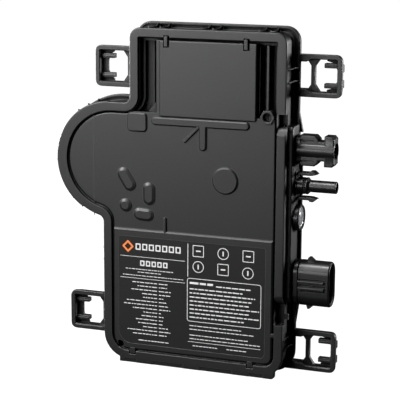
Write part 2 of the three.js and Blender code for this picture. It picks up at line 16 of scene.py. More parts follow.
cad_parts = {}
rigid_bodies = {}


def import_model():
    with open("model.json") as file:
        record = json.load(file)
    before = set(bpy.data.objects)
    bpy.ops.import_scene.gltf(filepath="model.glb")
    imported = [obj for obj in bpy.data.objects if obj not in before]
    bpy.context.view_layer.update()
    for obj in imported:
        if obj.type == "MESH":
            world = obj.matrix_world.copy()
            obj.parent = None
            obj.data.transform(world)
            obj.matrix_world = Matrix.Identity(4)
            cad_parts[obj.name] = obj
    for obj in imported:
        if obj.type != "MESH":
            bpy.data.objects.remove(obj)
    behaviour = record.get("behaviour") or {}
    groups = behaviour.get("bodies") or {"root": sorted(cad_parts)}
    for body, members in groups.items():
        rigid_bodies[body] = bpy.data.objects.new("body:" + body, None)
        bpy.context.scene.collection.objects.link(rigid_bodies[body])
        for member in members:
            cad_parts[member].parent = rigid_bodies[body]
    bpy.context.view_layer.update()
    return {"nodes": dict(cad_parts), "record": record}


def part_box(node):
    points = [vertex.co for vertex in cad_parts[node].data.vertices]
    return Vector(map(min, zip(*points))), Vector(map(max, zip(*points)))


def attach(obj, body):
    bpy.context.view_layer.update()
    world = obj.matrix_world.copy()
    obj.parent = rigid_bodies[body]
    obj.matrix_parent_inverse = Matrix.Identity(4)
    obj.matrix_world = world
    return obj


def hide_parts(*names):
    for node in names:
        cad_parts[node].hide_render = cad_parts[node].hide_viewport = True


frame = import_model()

# -------------------- dimensions, millimetres

MM = 0.001
BODY = "inverter_body"

FRONT = -15.1                   # front face of the rim
BACK = 15.1                     # rear face
RIGHT = 71                      # outline of the rim, seen from the front
TOP = 209
BOTTOM = 2
BLOCK_LEFT = -27.8
LOW_LEFT = -45.8
LOBE_X, LOBE_Z, LOBE_R = -39.5, 127.4, 36.1
TOP_CORNER = 6.5
NOTCH_FILLET = 4
LOW_LEFT_CORNER = 16
LOW_RIGHT_CORNER = 12

FLANGE_OUT = 2.5                # offsets from that outline
SHELL_OUT = -1
WALL_IN = -5.5
LID_OUT = -6.7
SKIRT_IN = -7.9
FLANGE_FRONT, LIP_FRONT, FLANGE_BACK = 2.8, 3.7, 5.8
FLOOR_FRONT = 12.9
PANEL = -13.9                   # depths on the front lid
PANEL_BACK = -12.3
PAD = -15
RAISED = -15.1
TRAY_TOP = -9
TRAY_FLOOR = -5.6
LID_BACK = -4.2
COVER_X0, COVER_X1, COVER_Z0, COVER_Z1 = -11, 52.6, 157.5, 202
STEP_Z = 85.7
SIDE = 73.9                     # outer face of the connector bulkhead
LIP_REACH = 76                  # the flange's lip behind the connectors

LABEL_X0, LABEL_X1, LABEL_Z0, LABEL_Z1 = -35.4, 59.6, 12.6, 80.8
LABEL_FRONT = -14.95
TAB_X, LOW_TAB_X = (-4.3, 46), (-26.6, 50.5)    # alignment tabs at the top and at the bottom

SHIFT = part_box("housing")[1].x / MM - LIP_REACH
TO_FRAME = Matrix.Scale(MM, 4) @ Matrix.Translation((SHIFT, 0, 0))


def middle(node, axis):
    """Middle of a CAD node's box along an axis, in drawing millimetres."""
    low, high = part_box(node)
    return (low[axis] + high[axis]) / 2 / MM - (SHIFT if axis == 0 else 0)


DC_SOCKET_Z = middle("dc_socket_housing", 2)
DC_PLUG_Z = middle("dc_plug_housing", 2)
STATUS_Z = middle("status_bezel", 2)
AC_Z = middle("ac_connector_base", 2)


def far_end(node):
    """Where a CAD node ends on the right, in drawing millimetres."""
    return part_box(node)[1].x / MM - SHIFT


def adjusted(node, **values):
    """Sets a node's inputs; an underscore stands for the space in an input's name."""
    for name, value in values.items():
        node.inputs[name.replace("_", " ")].default_value = value
    return node


def linked(name, data):
    """New object of the scene that shows some data."""
    obj = bpy.data.objects.new(name, data)
    bpy.context.scene.collection.objects.link(obj)
    return obj


# -------------------- camera, light and floor

VIEW_AZIMUTH, VIEW_ELEVATION, VIEW_ROLL = 20.6, 11.7, 0.30
CAMERA_PLACE = (0.30741, -0.8129, 0.2837)
LENS = 130.5


def aim(azimuth, elevation):
    """Unit vector from a viewer at that azimuth and elevation towards the object."""
    a, e = math.radians(azimuth), math.radians(elevation)
    return Vector((-math.sin(a) * math.cos(e), math.cos(a) * math.cos(e), -math.sin(e)))


def make_camera():
    data = bpy.data.cameras.new("camera")
    data.lens = LENS
    data.sensor_width = 36
    data.clip_start, data.clip_end = 0.02, 50
    camera = linked("camera", data)
    turn = aim(VIEW_AZIMUTH, VIEW_ELEVATION).to_track_quat("-Z", "Y").to_matrix().to_4x4()
    roll = Matrix.Rotation(math.radians(VIEW_ROLL), 4, "Z")
    camera.matrix_world = Matrix.Translation(CAMERA_PLACE) @ turn @ roll
    bpy.context.scene.camera = camera


def area_light(name, azimuth, elevation, distance, size, watts, height):
    """Soft light that looks at a point at some height on the object's middle line."""
    data = bpy.data.lights.new(name, "AREA")
    data.shape = "RECTANGLE"
    data.size, data.size_y = size
    data.energy = watts
    light = linked(name, data)
    direction = aim(azimuth, elevation)
    light.matrix_world = (Matrix.Translation(Vector((0, 0, height)) - direction * distance)
                          @ direction.to_track_quat("-Z", "Y").to_matrix().to_4x4())


LIGHTS = (                      # name, azimuth, elevation, distance, (width, height), watts, aimed at
    ("key", -42, 30, 0.9, (0.30, 0.30), 14.5, 0.12),
    ("left_edge", -100, 2, 1.0, (0.2, 0.2), 16, 0.12),
    ("top_edge", -25, 66, 1.0, (0.4, 0.15), 7, 0.12),
    ("front_fill", -22, 3, 1.0, (0.6, 0.16), 3.0, 0.12),
    ("rim_right", 128, 4, 1.1, (0.4, 0.3), 16, 0.16),
    ("rear_left", 235, 40, 1.2, (0.5, 0.5), 1, 0.1),
)
SURROUND = 0.02                 # strength of the light that comes from all round


def make_studio():
    for light in LIGHTS:
        area_light(*light)
    world = bpy.data.worlds.new("studio")
    world.use_nodes = True
    nodes, links = world.node_tree.nodes, world.node_tree.links
    back = adjusted(nodes["Background"], Color=(0.9, 0.9, 0.9, 1), Strength=SURROUND)
    seen = adjusted(nodes.new("ShaderNodeBackground"), Color=(1, 1, 1, 1))
    mix = nodes.new("ShaderNodeMixShader")
    path = nodes.new("ShaderNodeLightPath")
    links.new(path.outputs["Is Camera Ray"], mix.inputs["Fac"])
    links.new(back.outputs["Background"], mix.inputs[1])
    links.new(seen.outputs["Background"], mix.inputs[2])
    links.new(mix.outputs["Shader"], nodes["World Output"].inputs["Surface"])
    bpy.context.scene.world = world
    bpy.context.scene.view_settings.view_transform = "Standard"


FLOOR_HALF = 12                 # metres


def make_floor():
    """Plain floor that glows, so that it runs into the white behind it."""
    sheet = bmesh.new()
    half = FLOOR_HALF
    corners = [(-half, -half, 0), (half, -half, 0), (half, half, 0), (-half, half, 0)]
    sheet.faces.new([sheet.verts.new(corner) for corner in corners])
    mesh = bpy.data.meshes.new("floor")
    sheet.to_mesh(mesh)
    sheet.free()
    floor = linked("floor", mesh)
    floor.visible_diffuse = False
    floor.visible_glossy = False
    material = bpy.data.materials.new("floor_paint")
    material.use_nodes = True
    adjusted(material.node_tree.nodes["Principled BSDF"], Base_Color=(0.08, 0.08, 0.08, 1),
             Roughness=0.9, Emission_Color=(1, 1, 1, 1), Emission_Strength=1.0)
    mesh.materials.append(material)


# -------------------- outlines

def arc(cx, cz, radius, start, end, step):
    """Points of an arc; angles in degrees."""
    count = max(2, math.ceil(abs(end - start) / step))
    angles = [math.radians(start + (end - start) * i / count) for i in range(count + 1)]
    return [(cx + radius * math.cos(a), cz + radius * math.sin(a)) for a in angles]


def corner(x, z, sx, sz, radius, start):
    """Rounded convex corner at (x, z); sx and sz say which way the corner points."""
    r = max(radius, 0.4)
    return arc(x - sx * r, z - sz * r, r, start, start + 90, 10)


def body_outline(grow):
    """Outline of the body, grown outward by a distance, anticlockwise from the bottom left."""
    notch = NOTCH_FILLET - grow
    low_x = LOW_LEFT - NOTCH_FILLET
    span = LOBE_R + NOTCH_FILLET
    low_z = LOBE_Z - math.sqrt(span ** 2 - (low_x - LOBE_X) ** 2)
    meet = math.degrees(math.atan2(LOBE_Z - low_z, LOBE_X - low_x))
    return [
        *corner(LOW_LEFT - grow, BOTTOM - grow, -1, -1, LOW_LEFT_CORNER + grow, 180),
        *corner(RIGHT + grow, BOTTOM - grow, 1, -1, LOW_RIGHT_CORNER + grow, 270),
        *corner(RIGHT + grow, TOP + grow, 1, 1, TOP_CORNER + grow, 0),
        *corner(BLOCK_LEFT - grow, TOP + grow, -1, 1, TOP_CORNER + grow, 90),
        *arc(BLOCK_LEFT - NOTCH_FILLET, LOBE_Z + LOBE_R + NOTCH_FILLET, notch, 0, -90, 10),
        *arc(LOBE_X, LOBE_Z, LOBE_R + grow, 90, 180 + meet, 3),
        *arc(low_x, low_z, notch, meet, 0, 10),
    ]


def grown(points, distance):
    """Anticlockwise outline moved outward by a distance, with its corners kept."""
    if distance == 0:
        return points
    shifted = []
    for i, point in enumerate(points):
        p = Vector(point)
        before = (p - Vector(points[i - 1])).normalized()
        after = (Vector(points[(i + 1) % len(points)]) - p).normalized()
        n1, n2 = Vector((before.y, -before.x)), Vector((after.y, -after.x))
        shifted.append(tuple(p + (n1 + n2) * (distance / (1 + n1.dot(n2)))))
    return shifted


def softened(points, closed=True, steps=3):
    """Path whose corners are rounded by each point's third number, if it has one."""
    count = len(points)
    path = []
    for i, point in enumerate(points):
        p = Vector(point[:2])
        r = point[2] if len(point) > 2 else 0
        if r == 0 or (not closed and i in (0, count - 1)):
            path.append(tuple(p))
            continue
        before = Vector(points[i - 1][:2]) - p
        after = Vector(points[(i + 1) % count][:2]) - p
        half = before.angle(after) / 2
        reach = min(r / math.tan(half), 0.49 * before.length, 0.49 * after.length)
        start, end = p + before.normalized() * reach, p + after.normalized() * reach
        for k in range(steps + 1):
            t = k / steps
            path.append(tuple(start.lerp(p, t).lerp(p.lerp(end, t), t)))
    return path


SHARPEST = 0.02                 # least radius a rounded corner shrinks to


def drawn(points, radius=0, steps=3):
    """Outline function of a polygon, given either way round, whose corners round as it grows."""
    area = sum(a[0] * b[1] - b[0] * a[1] for a, b in zip(points, [*points[1:], points[0]]))
    path = points if area > 0 else points[::-1]
    bare = [point[:2] for point in path]

    def outline(grow):
        corners = []
        for i, (x, z) in enumerate(grown(bare, grow)):
            r = path[i][2] if len(path[i]) > 2 else radius
            (ax, az), (bx, bz), (cx, cz) = bare[i - 1], bare[i], bare[(i + 1) % len(bare)]
            convex = (bx - ax) * (cz - bz) > (bz - az) * (cx - bx)
            if r:
                r = max(r + (grow if convex else -grow), SHARPEST)
            corners.append((x, z, r))
        return softened(corners, steps=steps)

    return outline


def rectangle(x0, x1, z0, z1, radius):
    return drawn([(x0, z0), (x1, z0), (x1, z1), (x0, z1)], radius, 4)


def slot(xa, za, xb, zb, width):
    """Outline function of a slot with round ends between two points."""
    angle = math.degrees(math.atan2(zb - za, xb - xa))
    return lambda grow: [
        *arc(xa, za, width / 2 + grow, angle + 90, angle + 270, 15),
        *arc(xb, zb, width / 2 + grow, angle - 90, angle + 90, 15),
    ]


def disc(x, z, radius, step=7.5):
    """Outline function of a circle."""
    return lambda grow: arc(x, z, radius + grow, 0, 360 - step, step)


# -------------------- solids

AXES = {
    "x": lambda u, v, w: (w, u, v),     # outline in Y and Z, depth along X
    "y": lambda u, v, w: (u, w, v),     # outline in X and Z, depth along Y
    "z": lambda u, v, w: (u, v, w),     # outline in X and Y, depth along Z
}


def loft(rings, closed):
    """Solid through rings of points: capped at both ends, or joined end to end if closed."""
    solid = bmesh.new()
    rows = [[solid.verts.new(point) for point in ring] for ring in rings]
    pairs = list(zip(rows, rows[1:]))
    if closed:
        pairs.append((rows[-1], rows[0]))
    else:
        solid.faces.new(rows[0])
        solid.faces.new(rows[-1])
    for a, b in pairs:
        for i in range(len(a)):
            solid.faces.new((a[i - 1], a[i], b[i], b[i - 1]))
    bmesh.ops.recalc_face_normals(solid, faces=solid.faces)
    return solid


def sweep(outline, stations, axis="y", closed=False):
    """Solid whose section is a list of (growth of the outline, depth)."""
    place = AXES[axis]
    return loft([[place(u, v, w) for u, v in outline(grow)] for grow, w in stations], closed)


def plate(outline, w0, w1, near, far=0.0, axis="y", steps=3):
    """Plate from depth w0 to w1 with rounded edges at its near and far faces."""
    quarter = [math.pi / 2 * k / steps for k in range(steps + 1)]
    stations = [(0, w0)]
    if near:
        stations = [(near * (math.sin(a) - 1), w0 + near * (1 - math.cos(a))) for a in quarter]
    ends = [(0, w1)]
    if far:
        ends = [(far * (math.cos(a) - 1), w1 - far * (1 - math.sin(a))) for a in quarter]
    return sweep(outline, stations + ends, axis)


def sink(outline, face, bottom, lip):
    """Cutter for a recess from a face down to a bottom, with a small bevel at its mouth."""
    way = 1 if bottom > face else -1
    return sweep(outline, [(lip, face - way * 2), (lip, face), (0, face + way * lip), (0, bottom)])


def block(x0, x1, y0, y1, z0, z1, edge):
    """Box with rounded edges."""
    solid = bmesh.new()
    bmesh.ops.create_cube(solid, size=1)
    size = Matrix.Diagonal((x1 - x0, y1 - y0, z1 - z0, 1))
    place = Matrix.Translation(((x0 + x1) / 2, (y0 + y1) / 2, (z0 + z1) / 2))
    bmesh.ops.transform(solid, matrix=place @ size, verts=solid.verts)
    if edge:
        bmesh.ops.bevel(solid, geom=solid.edges[:], offset=edge, segments=2, profile=0.5,
                        affect="EDGES")
    return solid


def lathe(profile, z, y=0, sides=64, closed=False):
    """Turned solid about an axis along X; the profile is a list of (x, radius)."""
    rings = []
    for x, radius in profile:
        ring = arc(0, 0, radius, 0, 360 - 360 / sides, 360 / sides)
        rings.append([(x, y + u, z + v) for u, v in ring])
    return loft(rings, closed)


def moved(solid, matrix):
    bmesh.ops.transform(solid, matrix=matrix, verts=solid.verts)
    return solid


def as_object(solid, name="solid"):
    mesh = bpy.data.meshes.new(name)
    solid.to_mesh(mesh)
    solid.free()
    return bpy.data.objects.new(name, mesh)


def combined(base, add=(), cut=()):
    """Mesh of the base solid with others joined to it and then others cut from it."""
    whole = as_object(base, "combined")
    bpy.context.scene.collection.objects.link(whole)
    for operation, solids in (("UNION", add), ("DIFFERENCE", cut)):
        if not solids:
            continue
        group = bpy.data.collections.new(operation)
        for solid in solids:
            group.objects.link(as_object(solid))
        modifier = whole.modifiers.new(operation, "BOOLEAN")
        modifier.operation = operation
        modifier.operand_type = "COLLECTION"
        modifier.collection = group
        modifier.solver = "MANIFOLD"
        view = bpy.context.evaluated_depsgraph_get()
        result = bpy.data.meshes.new_from_object(whole.evaluated_get(view))
        whole.modifiers.clear()
        whole.data = result
        for item in list(group.objects):
            bpy.data.objects.remove(item)
        bpy.data.collections.remove(group)
    solid = bmesh.new()
    solid.from_mesh(whole.data)
    bpy.data.objects.remove(whole)
    return solid


def gathered(solids):
    """One mesh that holds several separate solids."""
    whole = bmesh.new()
    for solid in solids:
        mesh = bpy.data.meshes.new("part")
        solid.to_mesh(mesh)
        solid.free()
        whole.from_mesh(mesh)
        bpy.data.meshes.remove(mesh)
    return whole


SMOOTH_ANGLE = 34


def add_piece(name, solid, slot_name, replaces=(), body=BODY, finish=None):
    """Finished piece in the row frame; its finish is the slot's unless it has one of its own."""
    moved(solid, TO_FRAME)
    bmesh.ops.remove_doubles(solid, verts=solid.verts, dist=1e-7)
    obj = as_object(solid, name)
    obj.data.polygons.foreach_set("use_smooth", [True] * len(obj.data.polygons))
    obj.data.set_sharp_from_angle(angle=math.radians(SMOOTH_ANGLE))
    obj.data.materials.append(FINISHES[finish or slot_name])
    bpy.context.scene.collection.objects.link(obj)
    weighted = obj.modifiers.new("weighted_normals", "WEIGHTED_NORMAL")
    weighted.keep_sharp = True
    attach(obj, body)
    if replaces:
        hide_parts(*replaces)
    return obj


# -------------------- materials

def new_material(name, roughness, metallic=0.0, specular=0.5):
    material = bpy.data.materials.new(name)
    material.use_nodes = True
    surface = adjusted(material.node_tree.nodes["Principled BSDF"], Roughness=roughness,
                       Metallic=metallic, Specular_IOR_Level=specular)
    return material, surface


def noise(tree, scale, detail, roughness=0.5):
    """Noise over the object's own coordinates; the scale is in features per metre."""
    place = tree.nodes.new("ShaderNodeTexCoord")
    node = adjusted(tree.nodes.new("ShaderNodeTexNoise"), Scale=scale, Detail=detail,
                    Roughness=roughness)
    tree.links.new(place.outputs["Object"], node.inputs["Vector"])
    return node.outputs["Fac"]


def ranged(tree, value, low, high):
    """Spreads the values between 0.3 and 0.7 over a range."""
    node = adjusted(tree.nodes.new("ShaderNodeMapRange"), From_Min=0.3, From_Max=0.7,
                    To_Min=low, To_Max=high)
    tree.links.new(value, node.inputs["Value"])
    return node.outputs["Result"]


def blended(tree, factor, low, high):
    """Colour that runs from low to high with a factor."""
    node = tree.nodes.new("ShaderNodeMix")
    node.data_type = "RGBA"
    for socket, colour in ((node.inputs[6], low), (node.inputs[7], high)):
        if isinstance(colour, bpy.types.NodeSocket):
            tree.links.new(colour, socket)
        else:
            socket.default_value = (*colour, 1)
    tree.links.new(factor, node.inputs["Factor"])
    return node.outputs[2]


def bumped(tree, surface, height, distance):
    bump = adjusted(tree.nodes.new("ShaderNodeBump"), Distance=distance, Strength=1.0)
    tree.links.new(height, bump.inputs["Height"])
    tree.links.new(bump.outputs["Normal"], surface.inputs["Normal"])


def edge_mask(tree, radius):
    """About 1 along edges and 0 on flat faces, from how a rounded normal leaves the true one."""
    bevel = adjusted(tree.nodes.new("ShaderNodeBevel"), Radius=radius)
    bevel.samples = 6
    flat = tree.nodes.new("ShaderNodeNewGeometry")
    dot = tree.nodes.new("ShaderNodeVectorMath")
    dot.operation = "DOT_PRODUCT"
    tree.links.new(bevel.outputs["Normal"], dot.inputs[0])
    tree.links.new(flat.outputs["Normal"], dot.inputs[1])
    spread = adjusted(tree.nodes.new("ShaderNodeMapRange"), From_Min=0.999, From_Max=0.93)
    tree.links.new(dot.outputs["Value"], spread.inputs["Value"])
    return spread.outputs["Result"]


def openness(tree, reach):
    """1 in the open and nearer 0 deep in a corner or a pocket."""
    node = adjusted(tree.nodes.new("ShaderNodeAmbientOcclusion"), Distance=reach)
    node.samples = 8
    return node.outputs["AO"]


EDGE_WIDTH = 0.00045            # metres of painted highlight along an edge
SHADE_REACH = 0.009            # metres within which walls paint shade into a corner
SHADE_SHINE = 0.1              # share of the shine left deep in a pocket, as painted shade


def moulded_plastic(name, colour, roughness, grain=1.0, edge_highlight=8.0, shine=0.45):
    """Satin moulded plastic: fine spark texture, faint flow shading, a painted highlight along its edges
    and painted shade in its pockets.
    """
    material, surface = new_material(name, roughness, specular=shine)
    tree = material.node_tree
    darker = tuple(c * 0.92 for c in colour)
    lighter = tuple(c * 1.08 for c in colour)
    # Painted highlight: edges are lifted to many times the plastic's own colour.
    edge_highlight_colour = tuple(c * (1 + edge_highlight) for c in colour)
    flow = blended(tree, ranged(tree, noise(tree, 28, 3), 0, 1), darker, lighter)
    tree.links.new(blended(tree, edge_mask(tree, EDGE_WIDTH), flow, edge_highlight_colour),
                   surface.inputs["Base Color"])
    tree.links.new(ranged(tree, noise(tree, 160, 3), roughness - 0.012, roughness + 0.012),
                   surface.inputs["Roughness"])
    # Painted shade: the shine falls away in corners and pockets that walls close round.
    tree.links.new(ranged(tree, openness(tree, SHADE_REACH), shine * SHADE_SHINE, shine),
                   surface.inputs["Specular IOR Level"])
    spark = noise(tree, 3200, 2, 0.6)
    bumped(tree, surface, spark, 0.000012 * grain)
    return material


def rubber(name, colour):
    material, surface = new_material(name, 0.75, specular=0.3)
    tree = material.node_tree
    tone = blended(tree, ranged(tree, noise(tree, 300, 4), 0, 1), colour,
                   tuple(c * 1.7 for c in colour))
    tree.links.new(tone, surface.inputs["Base Color"])
    bumped(tree, surface, noise(tree, 2200, 3), 0.00003)
    return material


BRUSHING = (1, 12, 12)          # the lines are 12 times as long as they are wide


def brushed_metal(name, colour, roughness):
    """Metal with fine drawn lines along X and a little tarnish."""
    material, surface = new_material(name, roughness, metallic=1.0)
    tree = material.node_tree
    place = tree.nodes.new("ShaderNodeTexCoord")
    mapping = adjusted(tree.nodes.new("ShaderNodeMapping"), Scale=BRUSHING)
    tree.links.new(place.outputs["Object"], mapping.inputs["Vector"])
    lines = adjusted(tree.nodes.new("ShaderNodeTexNoise"), Scale=500)
    tree.links.new(mapping.outputs["Vector"], lines.inputs["Vector"])
    tone = blended(tree, ranged(tree, noise(tree, 120, 4), 0, 1), colour,
                   tuple(c * 0.8 for c in colour))
    tree.links.new(tone, surface.inputs["Base Color"])
    tree.links.new(ranged(tree, lines.outputs["Fac"], roughness - 0.06, roughness + 0.1),
                   surface.inputs["Roughness"])
    bumped(tree, surface, lines.outputs["Fac"], 0.00001)
    return material


def speckled(name, low, high, scale, roughness, bump):
    """Uneven solid such as ferrite, potting or laminate."""
    material, surface = new_material(name, roughness)
    tree = material.node_tree
    grains = noise(tree, scale, 5, 0.65)
    tree.links.new(blended(tree, ranged(tree, grains, 0, 1), low, high),
                   surface.inputs["Base Color"])
    tree.links.new(ranged(tree, noise(tree, scale / 3, 3), roughness - 0.06, roughness + 0.08),
                   surface.inputs["Roughness"])
    bumped(tree, surface, grains, bump)
    return material


def lens_material(name):
    """Clear cover over a silvery reflector, seen as milky glass with a bright face."""
    material, surface = new_material(name, 0.2, specular=0.6)
    tree = material.node_tree
    tone = blended(tree, ranged(tree, noise(tree, 420, 2), 0, 1), (0.16, 0.165, 0.175),
                   (0.46, 0.47, 0.48))
    tree.links.new(tone, surface.inputs["Base Color"])
    adjusted(surface, Coat_Weight=0.7, Coat_Roughness=0.05)
    bumped(tree, surface, noise(tree, 380, 1), 0.0002)
    return material


def printed_ink(name, colour):
    """Screen-printed ink with slightly uneven cover."""
    material, surface = new_material(name, 0.5, specular=0.3)
    tree = material.node_tree
    thin = tuple(c * 0.78 for c in colour)
    tree.links.new(blended(tree, ranged(tree, noise(tree, 1500, 3), 0, 1), thin, colour),
                   surface.inputs["Base Color"])
    bumped(tree, surface, noise(tree, 2500, 2), 0.000006)
    return material


# -------------------- housing

WALL_SECTION = [                # (growth, depth, rounding) from the inner floor out to the back
    (-7, FLOOR_FRONT), (WALL_IN, FLOOR_FRONT, 0.8),
    (WALL_IN, -11.6, 0.1), (-6.1, -11.9, 0.1), (-6.1, -12.9, 0.2), (WALL_IN, -13.2, 0.1),
    (WALL_IN, FRONT, 0.45), (0, FRONT, 0.8), (0, -11.5, 0.4),
    (-2.4, -11.2, 0.2), (-2.4, -8.9, 0.2), (-0.9, -8.7, 0.3), (-0.9, -7.6, 0.3),
    (-1.8, -7.3, 0.2), (-1.8, 0.2, 0.2), (-3, 0.5, 0.2), (-3, 2.7, 0.2),
    (-0.9, FLANGE_FRONT, 0.2), (-0.9, 4.4), (1.1, 4.4), (1.1, FLANGE_FRONT, 0.2),
    (FLANGE_OUT, FLANGE_FRONT, 0.5), (FLANGE_OUT, 4.1, 0.2), (1.9, 4.25, 0.1),
    (1.9, 4.65, 0.1), (FLANGE_OUT, 4.8, 0.2), (FLANGE_OUT, FLANGE_BACK, 0.5),
    (SHELL_OUT, 6.0, 0.3), (SHELL_OUT, BACK, 1.0), (-3, BACK),
]
SWELL = 1.3                     # how far the rim swells outward at the left of the lobe
SWELL_X, SWELL_Z = -1.2, 0.25   # the swelling's centre, from the lobe's


def rib_places():
    """Places of the bridging ribs round the wall: (x, z, outward direction in degrees)."""
    places = [(x, TOP, 90) for x in (-16, -8.4, 17.6, 24.8, 53.2, 60.4)]
    places += [(RIGHT, z, 0) for z in (187.3, 179.6, 24.2, 18)]
    places += [(BLOCK_LEFT, z, 180) for z in (187.3, 179.6)]
    places += [(LOW_LEFT, z, 180) for z in (72, 64.5, 31.5, 25)]
    for angle in (116, 128, 171, 183, 223, 235):
        turn = math.radians(angle)
        reach = LOBE_R + (SWELL + SWELL_X) + SWELL_X * math.cos(turn) + SWELL_Z * math.sin(turn)
        places.append((LOBE_X + reach * math.cos(turn), LOBE_Z + reach * math.sin(turn), angle))
    return places


def rib(x, z, angle):
    """Rib from the rim back to the flange, with a small tooth at the rim."""
    profile = drawn([(-4, -13.9), (0, -13.9), (1.1, -12.9), (0.2, -11.6), (0.2, -1), (2.1, 3.2),
                     (-4, 3.7)], 0.2, 2)
    solid = plate(profile, -0.4, 0.4, 0.2, 0.2, axis="z", steps=2)
    turn = Matrix.Rotation(-math.radians(angle), 4, "Y")
    return moved(solid, Matrix.Translation((x, 0, z)) @ turn)


def stadium(half, depth):
    """Outline function round the AC connector's axis: flat front and back, round above and below."""
    return slot(0, AC_Z + half - depth, 0, AC_Z - half + depth, 2 * depth)


def rim_gap(z0, z1, curve_low, curve_high):
    """Cutter across the right-hand rim whose ends curve away from the front face."""
    reach = 6.2
    low, high = [(FRONT - 1, z0)], [(FRONT - 1, z1)]
    if curve_low:
        low = [(FRONT - 1, z0 - reach), *arc(FRONT + reach, z0 - reach, reach, 180, 90, 15)]
    if curve_high:
        high = [(FRONT - 1, z1 + reach), *arc(FRONT + reach, z1 + reach, reach, 180, 270, 15)]
    points = low + [(-8, z0), (-8, z1)] + high[::-1]
    return plate(drawn(points), RIGHT - 5.45, RIGHT + 1.5, 0, 0, axis="x")


def rim_swell():
    """Crescent that widens the rim round the lobe."""
    outer = arc(LOBE_X + SWELL_X, LOBE_Z + SWELL_Z, LOBE_R + SWELL + SWELL_X, 92, 236, 3)
    inner = arc(LOBE_X, LOBE_Z, LOBE_R - 2.5, 236, 92, 6)
    return plate(drawn(outer + inner), FRONT, -11.5, 0.8, 0.4)


def housing():
    shell = sweep(body_outline, softened(WALL_SECTION, False))
    edge = RIGHT + FLANGE_OUT
    lip = plate(drawn([(66, 26), (RIGHT + 1, 28), (edge, 31, 3), (LIP_REACH, 48, 6), (LIP_REACH, 149, 6),
                       (edge, 161, 3), (RIGHT + 1, 164), (66, 166)]), LIP_FRONT, FLANGE_BACK, 0.4, 0.5)
    bulkhead = plate(drawn([(-10, 47, 4), (4.5, 47, 0.5), (4.5, 154, 0.5), (-10, 154, 5)], 1, 5),
                     66, SIDE, 0, 0.9, axis="x")
    strip = plate(rectangle(-10.9, -9, 49, 151, 0.5), 67, 71.6, 0, 0.4, axis="x")
    tongue = plate(drawn([(-8, 99), (-2, 99), (-2, 112), (-8, 112)], 2.6, 5), SIDE - 1, SIDE + 0.28,
                   0, 0.25, axis="x")
    patch = plate(rectangle(-8.5, 3, 126.4, 130.6, 0.6), SIDE - 1, SIDE + 0.28, 0, 0.2, axis="x")
    foot = plate(drawn([(-35.3, 0, 0.4), (66, 0, 2), (66, 7), (-35.3, 7)], 0), FRONT, -11.5, 0.35, 0.3)
    adds = [rim_swell(), lip, bulkhead, strip, tongue, patch, foot]
    adds += [rib(*place) for place in rib_places()]
    for z0, z1 in ((150.2, 153.6), (36.5, 40)):
        adds.append(block(67.5, 72.6, -8.8, -7, z0, z1, 0.3))
    cuts = [
        rim_gap(154.7, 161.7, True, False),
        rim_gap(34, 46.3, False, True),
        sink(disc(-34.8, 11.2, 2.3), FRONT, -9, 0.35),
        *(sink(rectangle(x - 1.5, x + 2.3, 199.6, 204.9, 0.3), FRONT, -12.6, 0.15) for x in TAB_X),
        *(sink(rectangle(x - 2.2, x + 2.2, 5.3, 8.9, 0.3), FRONT, -12.6, 0.15) for x in LOW_TAB_X),
        *(sink(rectangle(x0, x1, -2, 2.6, 0.3), FRONT, FRONT + 0.5, 0.1)
          for x0, x1 in ((-32, -24), (-13, 7), (18, 39), (50, 59))),
        *(lathe([(60, radius), (SIDE + 1, radius)], z=z)
          for z, radius in ((DC_SOCKET_Z, 4.5), (DC_PLUG_Z, 4.5), (STATUS_Z, 2.3))),
        plate(stadium(11.3, 5.9), 60, SIDE + 1, 0, axis="x"),
        plate(stadium(14.3, 7.6), SIDE, 90, 0, axis="x"),
        block(SIDE, 90, -6, 6, DC_SOCKET_Z - 9.6, DC_SOCKET_Z + 9.6, 0),
        lathe([(SIDE, 5.9), (90, 5.9)], z=DC_PLUG_Z),
        lathe([(SIDE, 8.3), (90, 8.3)], z=STATUS_Z),
        block(-99, 120, FRONT - 2, BACK + 2, -8, 0, 0),
        *(sink(rectangle(x0, 60, z0, z1, 5), BACK, BACK - 0.8, 0.4)
          for x0, z0, z1 in ((-22, 100, 196), (-38, 12, 92))),
    ]
    whole = combined(shell, adds, cuts)
    half, root = 0.7, BACK - 1.2
    ribs = [block(x - half, x + half, root, BACK - 0.05, z0, z1, 0.2)
            for x, z0, z1 in ((-20, 14, 90), (0, 14, 90), (22, 14, 90), (42, 14, 90),
                              (-4, 102, 194), (19, 102, 194), (42, 102, 194))]
    ribs += [block(x0, 58, root, BACK - 0.06, z - half, z + half, 0.2)
             for x0, z in ((-20, 125), (-20, 148), (-20, 171), (-36, 38), (-36, 64))]
    marks = [plate(disc(x, z, 2.6), BACK - 1.1, BACK - 0.3, 0, 0.15)
             for x, z in ((-13, 113), (50, 113), (-13, 184), (50, 184), (-29, 76), (51, 25))]
    return combined(whole, ribs + marks)


# -------------------- mounting ears

EAR_HALF, EAR_BAR, EAR_INSET = 12.7, 3, 1
EAR_FRONT, EAR_STEP, EAR_WEB, EAR_BACK = 3, 5.5, 7, 10
EAR_ROOT = 9                    # how far the ear's bars run in under the flange


